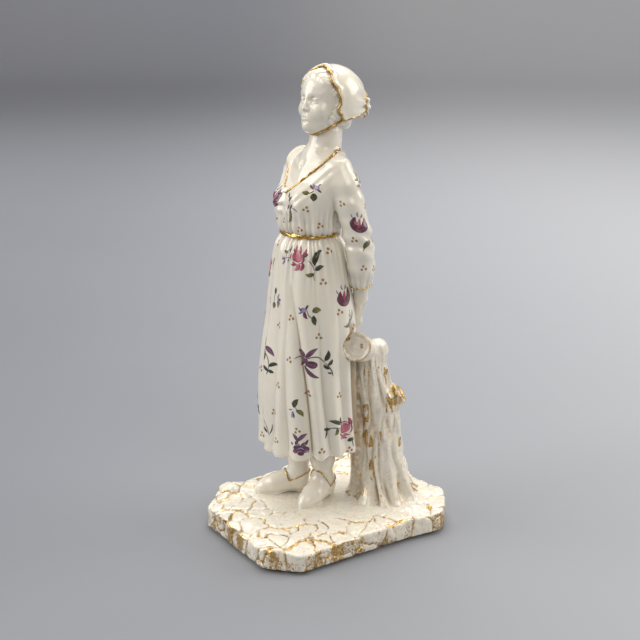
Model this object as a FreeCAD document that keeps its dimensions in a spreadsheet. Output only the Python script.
"""Porcelain lady on a rocky plinth beside a tree stump, modelled sub-part by sub-part.

Millimetres, +Z up. The origin is the centre of the plinth's underside. The lady faces -Y,
her left hand is on the +X side and the stump stands behind her left heel.
"""
import FreeCAD, Part
import math
import os
import Sketcher

V = FreeCAD.Vector
doc = FreeCAD.newDocument("figurine")
sheet = doc.addObject("Spreadsheet::Sheet", "Dims")

DIMS = [
    ("base_width", 81.0), ("base_length", 108.0), ("base_height", 12.5), ("base_chamfer", 14.0),
    ("base_taper_deg", 4.5), ("rim_width", 6.0), ("foot_recess", 2.0), ("vent_diameter", 5.0),
    ("hem_height", 41.5), ("waist_height", 150.5), ("hem_radius_x", 28.0), ("hem_radius_y", 24.4),
    ("waist_radius_x", 15.8), ("waist_radius_y", 13.8), ("hem_wall", 3.0), ("hem_recess", 3.5),
    ("belt_radius", 1.25), ("bust_radius_x", 19.0), ("bust_radius_y", 14.6),
    ("shoulder_height", 184.0), ("neck_radius", 8.0), ("neck_top", 199.0),
    ("head_radius_x", 11.6), ("head_radius_y", 13.6), ("head_base", 195.0), ("head_top", 228.5),
    ("hair_thickness", 1.4), ("bonnet_radius_x", 14.0), ("bonnet_radius_y", 15.8),
    ("bonnet_radius_z", 16.8), ("piping_radius", 0.65), ("ribbon_radius", 0.7),
    ("sleeve_radius", 7.0), ("cuff_radius", 4.6), ("forearm_radius", 3.5), ("wrist_radius", 2.6),
    ("hand_length", 9.5), ("finger_radius", 1.05), ("ankle_radius", 5.2), ("calf_radius", 7.0),
    ("shoe_length", 27.0), ("shoe_width", 10.4), ("instep_height", 12.0),
    ("root_radius", 16.5), ("trunk_radius", 10.6), ("trunk_top", 92.0), ("branch_radius", 6.2),
    ("branch_length", 15.0), ("knot_radius", 6.4), ("stub_radius", 4.6),
]
for row, (alias, number) in enumerate(DIMS, start=1):
    sheet.set("A%d" % row, alias)
    sheet.set("B%d" % row, repr(number))
    sheet.setAlias("B%d" % row, alias)
doc.recompute()
DIM = dict(DIMS)
NODES = []


def text(value):
    """Expression text of a number, a dimension's name, or (name, factor) or (name, factor, plus)."""
    if isinstance(value, str):
        return "Dims." + value
    if isinstance(value, tuple):
        plus = value[2] if len(value) > 2 else 0.0
        plus = "Dims." + plus if isinstance(plus, str) else "%.5f" % plus
        return "Dims.%s * %.5f + %s" % (value[0], value[1], plus)
    return "%.5f" % value


def amount(value):
    """The number that text(value) works out to."""
    if isinstance(value, str):
        return DIM[value]
    if isinstance(value, tuple):
        plus = value[2] if len(value) > 2 else 0.0
        return DIM[value[0]] * value[1] + (DIM[plus] if isinstance(plus, str) else plus)
    return float(value)


def bind(obj, **pairs):
    """Tie properties of obj to the sheet; plain numbers are set as they are."""
    for name, value in pairs.items():
        setattr(obj, name, amount(value))
        if not isinstance(value, (int, float)):
            obj.setExpression(name, text(value))
    return obj


def place(obj, centre, rotation=None):
    """Put obj at centre (numbers or sheet terms) with an optional rotation."""
    spot = V(*[amount(c) for c in centre])
    obj.Placement = FreeCAD.Placement(spot, rotation or FreeCAD.Rotation())
    for axis, value in zip("xyz", centre):
        if not isinstance(value, (int, float)):
            obj.setExpression(".Placement.Base." + axis, text(value))
    return obj


def along(direction):
    """Rotation that carries +Z onto a direction."""
    return FreeCAD.Rotation(V(0, 0, 1), V(*direction))


def new(kind, name):
    return doc.addObject(kind, name)


def ring(name, centre, radius_x, radius_y, spin=0.0, rotation=None):
    """Closed ellipse in its own XY plane; spin turns it about its own normal."""
    turn = FreeCAD.Rotation(V(0, 0, 1), spin)
    wide = amount(radius_x) >= amount(radius_y)
    if not wide:
        radius_x, radius_y = radius_y, radius_x
        turn = turn.multiply(FreeCAD.Rotation(V(0, 0, 1), 90.0))
    if rotation is not None:
        turn = rotation.multiply(turn)
    curve = new("Part::Ellipse", name)
    curve.MajorRadius = amount(radius_x)
    curve.MinorRadius = amount(radius_y)
    bind(curve, MajorRadius=radius_x, MinorRadius=radius_y)
    return place(curve, centre, turn)


def stack(name, rings):
    """Smooth solid through rings given as (centre, radius_x, radius_y, spin)."""
    curves = []
    for step, (centre, rx, ry, spin) in enumerate(rings):
        curves.append(ring("%s_ring_%d" % (name, step), centre, rx, ry, spin))
    return loft(name, curves)


def loft(name, curves):
    body = new("Part::Loft", name)
    body.Sections = curves
    body.Solid = True
    body.Ruled = False
    return body


def limb(name, points):
    """Round limb through (x, y, z, radius) points, each section square to the limb."""
    curves = []
    for step, (x, y, z, radius) in enumerate(points):
        before = points[max(step - 1, 0)]
        after = points[min(step + 1, len(points) - 1)]
        heading = [amount(b) - amount(a) for a, b in zip(before[:3], after[:3])]
        heading = [-h for h in heading]
        curve = new("Part::Circle", "%s_ring_%d" % (name, step))
        bind(curve, Radius=radius)
        place(curve, (x, y, z), along(heading))
        curves.append(curve)
    return loft(name, curves)


def cord(name, spine, radius):
    """Round cord along a spine curve."""
    doc.recompute()
    start = spine.Shape.Edges[0]
    first = start.FirstParameter
    profile = new("Part::Circle", name + "_profile")
    bind(profile, Radius=radius)
    tangent = start.tangentAt(first)
    profile.Placement = FreeCAD.Placement(start.valueAt(first), along(tangent))
    sweep = new("Part::Sweep", name)
    sweep.Sections = [profile]
    sweep.Spine = (spine, ["Edge1"])
    sweep.Solid = True
    sweep.Frenet = True
    return sweep


def arc_through(name, first, middle, last):
    """Circular arc through three points, used as a spine."""
    a, b, c = V(*first), V(*middle), V(*last)
    circle = Part.Arc(a, b, c).toShape().Curve
    centre = circle.Center
    to_first = a.sub(centre)
    normal = a.sub(centre).cross(b.sub(centre)).normalize()
    turn = FreeCAD.Rotation(to_first, normal.cross(to_first), normal, "ZXY")
    end = turn.inverted().multVec(c.sub(centre))
    curve = new("Part::Circle", name)
    curve.Radius = circle.Radius
    curve.Angle1 = 0.0
    curve.Angle2 = math.degrees(math.atan2(end.y, end.x)) % 360.0
    place(curve, tuple(centre), turn)
    doc.recompute()
    return curve


def cut(name, base, *tools):
    """base with each tool taken away in turn."""
    result = base
    for step, tool in enumerate(tools):
        last = step == len(tools) - 1
        piece = new("Part::Cut", name if last else "%s_cut_%d" % (name, step))
        piece.Base = result
        piece.Tool = tool
        result = piece
    return result


def fuse(name, shapes):
    piece = new("Part::MultiFuse", name)
    piece.Shapes = shapes
    return piece


def common(name, shapes):
    piece = new("Part::MultiCommon", name)
    piece.Shapes = shapes
    return piece


def block(name, corner, size, rotation=None):
    piece = new("Part::Box", name)
    piece.Length, piece.Width, piece.Height = size
    return place(piece, corner, rotation)


def half_space(name, point, normal, reach=80.0):
    """Large block whose lower face passes through point and whose inside is along normal."""
    turn = along(normal)
    corner = V(*point).add(turn.multVec(V(-reach, -reach, 0)))
    return block(name, (corner.x, corner.y, corner.z), (2 * reach, 2 * reach, 2 * reach), turn)


def node(obj, label):
    """Register obj as the finished sub-part called label."""
    obj.Label = label
    NODES.append((label, obj))
    return obj


def build_base():
    """Chamfered plinth: tapered pad, recessed foot, firing vent."""
    body = new("PartDesign::Body", "base_body")

    def origin_plane(role):
        return [f for f in body.Origin.OriginFeatures if f.Role == role][0]

    def octagon(name, inset_text, inset):
        sketch = body.newObject("Sketcher::SketchObject", name)
        sketch.AttachmentSupport = [(origin_plane("XY_Plane"), "")]
        sketch.MapMode = "FlatFace"
        half_x = DIM["base_width"] / 2 - inset
        half_y = DIM["base_length"] / 2 - inset
        chamfer = DIM["base_chamfer"] - inset * 0.6
        corners = []
        for sx, sy, first in ((1, 1, 0), (-1, 1, 1), (-1, -1, 0), (1, -1, 1)):
            pair = [V(sx * half_x, sy * (half_y - chamfer), 0), V(sx * (half_x - chamfer), sy * half_y, 0)]
            corners += pair[::-1] if first else pair
        for k in range(8):
            sketch.addGeometry(Part.LineSegment(corners[k], corners[(k + 1) % 8]), False)
        for k in range(8):
            sketch.addConstraint(Sketcher.Constraint("Coincident", k, 2, (k + 1) % 8, 1))
        for k, point in enumerate(corners):
            for kind, value in (("DistanceX", point.x), ("DistanceY", point.y)):
                index = sketch.addConstraint(Sketcher.Constraint(kind, -1, 1, k, 1, value))
                long_half, take = ("base_width", "x") if kind == "DistanceX" else ("base_length", "y")
                size = abs(getattr(point, take))
                side = DIM[long_half] / 2 - inset
                sign = "" if value > 0 else "-"
                core = "Dims.%s / 2 - %s" % (long_half, inset_text)
                if size < side - 0.01:
                    core += " - (Dims.base_chamfer - (%s) * 0.6)" % inset_text
                sketch.setExpression("Constraints[%d]" % index, "%s(%s)" % (sign, core))
        return sketch

    outline = octagon("base_outline", "0", 0.0)
    pad = body.newObject("PartDesign::Pad", "base_pad")
    pad.Profile = outline
    bind(pad, Length="base_height")
    pad.TaperAngle = -DIM["base_taper_deg"]
    pad.setExpression("TaperAngle", "-Dims.base_taper_deg")
    foot = octagon("base_foot", "Dims.rim_width", DIM["rim_width"])
    pocket = body.newObject("PartDesign::Pocket", "base_recess")
    pocket.Profile = foot
    pocket.Reversed = True
    bind(pocket, Length="foot_recess")
    vent_sketch = body.newObject("Sketcher::SketchObject", "vent_outline")
    vent_sketch.AttachmentSupport = [(origin_plane("XY_Plane"), "")]
    vent_sketch.MapMode = "FlatFace"
    circle = vent_sketch.addGeometry(Part.Circle(V(0, 0, 0), V(0, 0, 1), DIM["vent_diameter"] / 2))
    vent_sketch.addConstraint(Sketcher.Constraint("Coincident", circle, 3, -1, 1))
    size = vent_sketch.addConstraint(Sketcher.Constraint("Diameter", circle, DIM["vent_diameter"]))
    vent_sketch.setExpression("Constraints[%d]" % size, "Dims.vent_diameter")
    vent = body.newObject("PartDesign::Pocket", "vent_pocket")
    vent.Profile = vent_sketch
    vent.Reversed = True
    vent.Length = DIM["foot_recess"] + 6.0
    vent.setExpression("Length", "Dims.foot_recess + 6")
    return node(body, "base")


def build_stump():
    """Leaning trunk with a root flare, one sawn branch, a broken top and a side stub."""
    ground = "base_height"
    trunk = stack("trunk", [
        ((10.0, 30.0, ground), ("root_radius", 1.0), ("root_radius", 0.96), 0),
        ((10.0, 29.8, (ground, 1.0, 4.0)), ("root_radius", 0.88), ("root_radius", 0.85), 0),
        ((9.6, 29.4, (ground, 1.0, 11.0)), ("trunk_radius", 1.24), ("trunk_radius", 1.19), 0),
        ((9.2, 28.6, 40.0), ("trunk_radius", 1.03), ("trunk_radius", 1.0), 0),
        ((8.6, 27.8, 58.0), ("trunk_radius", 0.95), ("trunk_radius", 0.92), 0),
        ((7.4, 25.8, 72.0), ("trunk_radius", 0.80), ("trunk_radius", 0.78), 0),
        ((6.6, 25.0, 84.0), ("trunk_radius", 0.80), ("trunk_radius", 0.76), 0),
        ((6.6, 25.6, "trunk_top"), ("trunk_radius", 0.62), ("trunk_radius", 0.60), 0),
    ])
    roots = [trunk]
    for k in range(6):
        angle = math.radians(25 + 60 * k)
        root = new("Part::Cone", "root_%d" % k)
        bind(root, Radius1=("root_radius", 0.24), Radius2=("root_radius", 0.07), Height=26.0)
        foot = (10 + 14.2 * math.cos(angle), 30 + 13.6 * math.sin(angle), (ground, 1.0, -1.0))
        lean = (-7.5 * math.cos(angle), -7.5 * math.sin(angle), 26.0)
        place(root, foot, along(lean))
        roots.append(root)
    whole = fuse("trunk_with_roots", roots)
    floor = block("ground_trim", (-60.0, -60.0, (ground, 1.0, -20.0)), (160, 160, 20))
    node(cut("trunk_finished", whole, floor), "stump_trunk")

    branch = new("Part::Cone", "branch_cone")
    bind(branch, Radius1=("branch_radius", 0.95), Radius2="branch_radius", Height="branch_length")
    place(branch, (7.4, 22.4, 89.6), along(BRANCH_AXIS))
    node(cut("branch_finished", branch, whole), "stump_branch")

    knot = new("Part::Ellipsoid", "knot_blob")
    bind(knot, Radius1=("knot_radius", 0.82), Radius2=("knot_radius", 0.80), Radius3="knot_radius")
    place(knot, (9.2, 28.4, 90.6), FreeCAD.Rotation(V(1, 0, 0), 18))
    node(cut("knot_finished", knot, whole, branch), "stump_broken_top")

    stub = new("Part::Cone", "stub_cone")
    bind(stub, Radius1=("stub_radius", 1.25), Radius2=("stub_radius", 0.72), Height=11.0)
    place(stub, (9.6, 29.0, 63.0), along((0.52, 0.66, 0.55)))
    node(cut("stub_finished", stub, whole), "stump_side_stub")
    return branch


def shoe(side, toe, angle, ankle):
    """Slip-on shoe with a pointed throat: sections square to the foot, arch clear of the ground."""
    heading = V(math.sin(angle), -math.cos(angle), 0)
    turn = FreeCAD.Rotation(V(0, 0, 1), math.degrees(angle)).multiply(
        FreeCAD.Rotation(V(1, 0, 0), -90))
    rows = [
        (0.02, 0.26, 0.10, 0.14), (0.10, 0.62, 0.20, 0.24), (0.28, 0.96, 0.30, 0.38),
        (0.50, 0.90, 0.50, 0.60), (0.68, 0.72, 0.56, 0.72), (0.84, 0.70, 0.50, 0.62),
        (0.96, 0.56, 0.44, 0.50), (1.0, 0.30, 0.24, 0.44),
    ]
    curves = []
    for step, (back, wide, tall, middle) in enumerate(rows):
        reach = DIM["shoe_length"] * back
        x = toe[0] - heading.x * reach
        y = toe[1] - heading.y * reach
        z = ("instep_height", middle * 0.62, DIM["base_height"])
        name = "%s_shoe_section_%d" % (side, step)
        curves.append(ring(name, (x, y, z), ("shoe_width", wide / 2), ("instep_height", tall * 0.62),
                           0.0, turn))
    upper = loft(side + "_shoe_upper", curves)
    sole_cut = block(side + "_sole_trim", (-80.0, -80.0, ("base_height", 1.0, -20.0)), (160, 160, 20))
    heel = new("Part::Cylinder", side + "_heel_block")
    bind(heel, Radius=("shoe_width", 0.30), Height=4.0)
    reach = DIM["shoe_length"] * 0.84
    place(heel, (toe[0] - heading.x * reach, toe[1] - heading.y * reach, "base_height"))
    collar = new("Part::Cone", side + "_collar")
    bind(collar, Radius1=("shoe_width", 0.50), Radius2=("ankle_radius", 1.12), Height=7.0)
    place(collar, (ankle[0], ankle[1], ("base_height", 1.0, 5.0)))
    solid = fuse(side + "_shoe_solid", [upper, heel, collar])
    return cut(side + "_shoe_trimmed", solid, sole_cut)


def build_legs():
    """Stockinged legs rising from the shoes into the floor of the skirt."""
    top = ("hem_height", 1.0, DIM["hem_recess"])
    for side, toe, angle, ankle, hip in (
            ("right", (-28.3, -27.4), math.radians(-29), (-17.0, -7.0), (-16.2, -6.6)),
            ("left", (6.1, -14.6), math.radians(25), (-2.0, 2.6), (-2.2, 1.6))):
        foot = (ankle[0], ankle[1], ("base_height", 1.0, 5.5))
        leg = stack(side + "_leg_loft", [
            (foot, ("ankle_radius", 1.0), ("ankle_radius", 1.10), math.degrees(angle)),
            ((ankle[0], ankle[1], 26.0), ("ankle_radius", 0.98), ("ankle_radius", 1.08), math.degrees(angle)),
            ((ankle[0], ankle[1], 34.0), ("calf_radius", 0.88), ("calf_radius", 0.94), math.degrees(angle)),
            ((hip[0], hip[1], top), ("calf_radius", 1.0), ("calf_radius", 1.06), math.degrees(angle)),
        ])
        node(leg, side + "_leg")
        node(cut(side + "_shoe_finished", shoe(side, toe, angle, ankle), leg), side + "_shoe")


def build_skirt(branch, belt):
    """Full skirt with a recessed underside and a seat pressed in for the branch."""

    def level(part):
        return ("waist_height", part, DIM["hem_height"] * (1 - part))

    rows = [
        (0.00, -9.0, -4.8, 1.00, 1.00), (0.30, -9.0, -5.3, 0.98, 0.98), (0.49, -9.0, -4.4, 0.94, 0.94),
        (0.61, -9.0, -3.3, 0.91, 0.91), (0.83, -9.0, -3.3, 0.80, 0.80), (0.92, -9.0, -3.3, 0.71, 0.70),
    ]
    rings = [((x, y, level(part)), ("hem_radius_x", fx), ("hem_radius_y", fy), 0)
             for part, x, y, fx, fy in rows]
    rings.append(((-9.0, -3.4, "waist_height"), ("waist_radius_x", 1.0), ("waist_radius_y", 1.0), 0))
    solid = stack("skirt_loft", rings)
    under = stack("skirt_under", [
        ((-9.0, -4.8, ("hem_height", 1.0, -1.0)), ("hem_radius_x", 1.0, -DIM["hem_wall"]),
         ("hem_radius_y", 1.0, -DIM["hem_wall"]), 0),
        ((-9.0, -4.8, ("hem_height", 1.0, DIM["hem_recess"])), ("hem_radius_x", 1.0, -DIM["hem_wall"] - 0.8),
         ("hem_radius_y", 1.0, -DIM["hem_wall"] - 0.8), 0),
    ])
    node(cut("skirt_finished", solid, under, branch, belt), "skirt")
    return solid


def build_torso(belt, lapels):
    """Gathered bodice and the bare neck that plugs into it."""
    bodice = stack("bodice_loft", [
        ((-9.0, -3.4, "waist_height"), ("waist_radius_x", 0.98), ("waist_radius_y", 0.98), 0),
        ((-9.0, -4.0, 155.0), ("bust_radius_x", 0.95), ("bust_radius_y", 1.0), 3),
        ((-9.2, -4.4, 165.0), "bust_radius_x", "bust_radius_y", 4),
        ((-9.6, -2.2, 174.0), ("bust_radius_x", 1.10), ("bust_radius_y", 0.84), 4),
        ((-9.6, 0.4, 180.0), ("bust_radius_x", 1.06), ("bust_radius_y", 0.62), 4),
        ((-9.2, 2.0, "shoulder_height"), ("bust_radius_x", 0.84), ("bust_radius_y", 0.52), 4),
        ((-8.4, 3.4, ("shoulder_height", 1.0, 4.5)), ("neck_radius", 1.22), ("neck_radius", 1.12), 4),
    ])
    neck = stack("neck_loft", [
        ((-8.8, -1.6, 172.0), ("neck_radius", 0.9), ("neck_radius", 0.9), 0),
        ((-8.4, 1.4, 181.0), ("neck_radius", 1.18), ("neck_radius", 1.06), 0),
        ((-8.0, 3.2, 188.5), ("neck_radius", 1.02), ("neck_radius", 1.0), 0),
        ((-7.6, 4.2, 193.5), ("neck_radius", 0.98), ("neck_radius", 0.98), 0),
        ((-7.4, 5.2, "neck_top"), ("neck_radius", 0.98), ("neck_radius", 0.98), 0),
    ])
    node(cut("bodice_finished", bodice, neck, belt, *lapels), "bodice")
    node(neck, "neck_and_chest")
    return bodice, neck


def build_arm(side, path, wrist, body, skirt):
    """Long sleeve to mid forearm, banded cuff, bare forearm running back to the wrist."""
    widths = [0.94, 0.98, 0.94, 0.90, 0.80]
    points = [(x, y, z, ("sleeve_radius", w)) for (x, y, z), w in zip(path, widths)]
    points.append(path[5] + ("cuff_radius",))
    sleeve = limb(side + "_sleeve_loft", points)
    ball = new("Part::Sphere", side + "_shoulder_ball")
    bind(ball, Radius=("sleeve_radius", 0.95))
    place(ball, path[0])
    arm = fuse(side + "_arm_solid", [sleeve, ball])
    cuff_at = V(*path[5])
    run = V(*wrist).sub(cuff_at)
    heading = V(run.x, run.y, run.z).normalize()
    start = cuff_at.sub(V(heading.x, heading.y, heading.z).multiply(3.0))
    middle = cuff_at.add(V(run.x, run.y, run.z).multiply(0.5))
    forearm = limb(side + "_forearm_loft", [
        (start.x, start.y, start.z, ("forearm_radius", 0.98)),
        (middle.x, middle.y, middle.z, ("forearm_radius", 0.92)),
        tuple(wrist) + ("wrist_radius",),
    ])
    band = new("Part::Torus", side + "_band_ring")
    bind(band, Radius1=("cuff_radius", 0.95), Radius2=0.75)
    place(band, tuple(cuff_at), along(tuple(heading)))
    node(cut(side + "_sleeve_finished", arm, body, band), side + "_sleeve")
    node(cut(side + "_band_finished", band, forearm), side + "_cuff_band")
    node(cut(side + "_forearm_finished", forearm, arm, skirt), side + "_forearm")
    return forearm


def build_hand(side, wrist, reach, lift, tools):
    """Palm, four tapering fingers and a thumb fused into one hand behind the skirt."""
    heading = V(reach * 0.66, 0.16, -0.73).normalize()
    across = along(tuple(heading))
    curves = []
    for step, (run, wide, thick) in enumerate(((-0.6, 0.50, 0.46), (1.6, 0.66, 0.40), (4.2, 0.84, 0.36),
                                               (5.8, 0.74, 0.28))):
        spot = V(*wrist).add(V(0, lift * run / 6.0, 0)).add(V(heading.x, heading.y, heading.z).multiply(run))
        curves.append(ring("%s_palm_ring_%d" % (side, step), tuple(spot), ("hand_length", wide / 2),
                           ("hand_length", thick / 2), 0.0, across))
    palm = loft(side + "_palm", curves)
    parts = [palm]
    knuckles = V(*wrist).add(V(0, lift * 0.85, 0)).add(V(heading.x, heading.y, heading.z).multiply(4.6))
    for k in range(4):
        sideways = V(-heading.z * reach, 0, heading.x * reach).multiply((k - 1.5) * 1.75)
        finger = new("Part::Cone", "%s_finger_%d" % (side, k))
        bind(finger, Radius1="finger_radius", Radius2=("finger_radius", 0.62), Height=("hand_length", 0.60))
        place(finger, tuple(knuckles.add(sideways)), along((reach * 0.80, 0.10, -0.58)))
        parts.append(finger)
    thumb = new("Part::Cone", side + "_thumb")
    bind(thumb, Radius1=("finger_radius", 1.25), Radius2=("finger_radius", 0.75),
         Height=("hand_length", 0.62))
    start = V(*wrist).add(V(heading.x, heading.y, heading.z).multiply(1.6)).add(V(0, lift * 0.3, 0.6))
    place(thumb, tuple(start), along((reach * 0.90, 0.30, -0.05)))
    whole = fuse(side + "_hand_solid", parts + [thumb])
    node(cut(side + "_hand_finished", whole, *tools), side + "_hand")
    return whole


def build_head(neck):
    """Head with jaw, brow and crown, its bonnet, the hair that shows, and the ribbon."""
    turn = FreeCAD.Rotation(V(0, 0, 1), HEAD_TURN)
    head = stack("head_loft", [
        ((-6.4, -0.6, "head_base"), ("head_radius_x", 0.36), ("head_radius_y", 0.34), HEAD_TURN),
        ((-6.5, 0.6, ("head_base", 1.0, 3.0)), ("head_radius_x", 0.68), ("head_radius_y", 0.70), HEAD_TURN),
        ((-6.7, 2.6, ("head_base", 1.0, 8.0)), ("head_radius_x", 0.88), ("head_radius_y", 0.90), HEAD_TURN),
        ((-6.9, 4.8, ("head_base", 1.0, 16.0)), ("head_radius_x", 1.0), ("head_radius_y", 1.02), HEAD_TURN),
        ((-7.0, 5.6, ("head_base", 1.0, 24.0)), ("head_radius_x", 0.96), ("head_radius_y", 1.0), HEAD_TURN),
        ((-7.0, 6.0, ("head_base", 1.0, 30.0)), ("head_radius_x", 0.70), ("head_radius_y", 0.74), HEAD_TURN),
        ((-7.0, 6.2, "head_top"), ("head_radius_x", 0.26), ("head_radius_y", 0.28), HEAD_TURN),
    ])
    node(cut("head_finished", head, neck), "head")

    shell = new("Part::Ellipsoid", "hair_shell")
    bind(shell, Radius1=("bonnet_radius_z", 1.0, 0.2), Radius2=("head_radius_x", 1.0, "hair_thickness"),
         Radius3=("head_radius_y", 1.0, "hair_thickness"))
    place(shell, (-6.9, 5.4, 212.8), turn)
    hairline = half_space("hairline_plane", (-6.9, -6.0, 219.5), (0.0, 0.62, 0.50))
    hair = common("hair_raw", [shell, hairline])
    node(cut("hair_finished", hair, head, neck), "hair")

    cap = new("Part::Ellipsoid", "cap_shell")
    bind(cap, Radius1="bonnet_radius_z", Radius2="bonnet_radius_x", Radius3="bonnet_radius_y")
    place(cap, CAP_CENTRE, turn)
    front = half_space("bonnet_front_plane", BONNET_TOP, BONNET_BACKWARD)
    lower = half_space("bonnet_lower_plane", (-6.9, 14.0, 200.5), (0.0, -0.26, 0.966))
    bonnet = common("bonnet_raw", [cap, front, lower])

    down = V(0.0, BONNET_BACKWARD[2], -BONNET_BACKWARD[1])
    normal = V(*BONNET_BACKWARD)
    facing = FreeCAD.Rotation(down, normal.cross(down), normal, "ZXY")
    rim = new("Part::Ellipse", "edging_spine")
    rim.MajorRadius = DIM["bonnet_radius_z"]
    rim.MinorRadius = DIM["bonnet_radius_x"]
    bind(rim, MajorRadius="bonnet_radius_z", MinorRadius="bonnet_radius_x")
    rim.Angle1 = 35.0
    rim.Angle2 = 325.0
    place(rim, (-6.9, CAP_CENTRE[1] - 0.7, CAP_CENTRE[2] - 0.15), facing)
    edging = cord("edging_sweep", rim, "piping_radius")
    node(edging, "bonnet_edging")
    node(cut("bonnet_finished", bonnet, shell, head, edging), "bonnet_cap")

    knot = new("Part::Ellipsoid", "bow_knot")
    bind(knot, Radius1=("bonnet_radius_z", 0.36), Radius2=("bonnet_radius_x", 0.46),
         Radius3=("bonnet_radius_y", 0.19))
    place(knot, (-5.8, 23.2, 210.2), turn)
    node(cut("knot_of_bonnet", knot, cap), "bonnet_knot")

    nape = new("Part::Ellipsoid", "nape_roll")
    bind(nape, Radius1=4.6, Radius2=("head_radius_x", 0.62), Radius3=("head_radius_y", 0.38))
    place(nape, (-6.4, 13.2, 199.4), turn)
    node(cut("nape_finished", nape, bonnet, neck, head, shell), "nape_hair")

    ribbon_spine = arc_through("ribbon_spine", (4.9, 9.4, 199.8), (-6.4, -4.4, 194.6), (-18.4, 7.6, 199.8))
    ribbon = cord("ribbon_sweep", ribbon_spine, "ribbon_radius")
    node(cut("ribbon_finished", ribbon, neck, head, cap, edging), "chin_ribbon")


HEAD_TURN = 8.0
BRANCH_AXIS = (0.28, -0.85, 0.45)
BONNET_TOP = (-7.0, 4.2, 229.0)
BONNET_BACKWARD = (0.0, 0.978, 0.208)
CAP_CENTRE = (-6.9, 8.4, 212.6)
SLEEVES = {
    "left": [(10.5, 2.6, 177.0), (12.8, 5.0, 167.0), (13.8, 7.6, 155.0), (14.2, 9.8, 144.0),
             (13.2, 10.8, 135.0), (11.6, 12.2, 125.5)],
    "right": [(-29.5, 0.8, 177.0), (-32.0, 3.6, 167.0), (-33.4, 6.8, 155.0), (-33.8, 9.4, 144.0),
              (-32.4, 11.6, 135.0), (-30.0, 13.8, 125.5)],
}
WRISTS = {"left": (-1.6, 19.6, 106.0), "right": (-15.6, 18.9, 107.0)}

build_base()
branch = build_stump()
build_legs()
belt_spine = ring("belt_spine", (-9.0, -3.4, "waist_height"), ("waist_radius_x", 1.0, 0.1),
                  ("waist_radius_y", 1.0, 0.1))
doc.recompute()
belt = cord("belt_sweep", belt_spine, "belt_radius")
node(belt, "belt_cord")
skirt = build_skirt(branch, belt)
left_edge = arc_through("left_lapel_spine", (1.2, 8.4, 188.6), (1.6, -8.4, 179.0), (-9.6, -19.0, 166.0))
right_edge = arc_through("right_lapel_spine", (-18.2, 6.2, 188.4), (-19.6, -8.6, 179.0), (-10.4, -18.6, 167.6))
lapels = [cord("left_lapel_sweep", left_edge, "piping_radius"),
          cord("right_lapel_sweep", right_edge, ("piping_radius", 0.8))]
bodice, neck = build_torso(belt, lapels)
node(cut("left_lapel_finished", lapels[0], neck), "left_lapel_edge")
node(cut("right_lapel_finished", lapels[1], neck, lapels[0]), "right_lapel_edge")
forearms = {side: build_arm(side, SLEEVES[side], WRISTS[side], bodice, skirt) for side in SLEEVES}
left_hand = build_hand("left", WRISTS["left"], -1.0, 2.6, [forearms["left"], skirt])
build_hand("right", WRISTS["right"], 1.0, 1.2, [left_hand, skirt, forearms["right"]])
build_head(neck)
doc.recompute()

broken = [o.Name for o in doc.Objects if "Invalid" in o.State or "Error" in o.State]
if broken:
    raise SystemExit("not computed: " + ", ".join(broken))
os.makedirs("parts", exist_ok=True)
for label, obj in NODES:
    shape = obj.Shape
    if shape.isNull() or not shape.isValid():
        raise SystemExit("bad shape: " + label)
    box = shape.BoundBox
    print("%-18s solids %d volume %9.1f  x %6.1f %6.1f  y %6.1f %6.1f  z %6.1f %6.1f" % (
        label, len(shape.Solids), shape.Volume, box.XMin, box.XMax, box.YMin, box.YMax,
        box.ZMin, box.ZMax))
for label, obj in NODES:
    obj.Shape.exportStep("parts/%s.step" % label)
print("nodes", len(NODES))
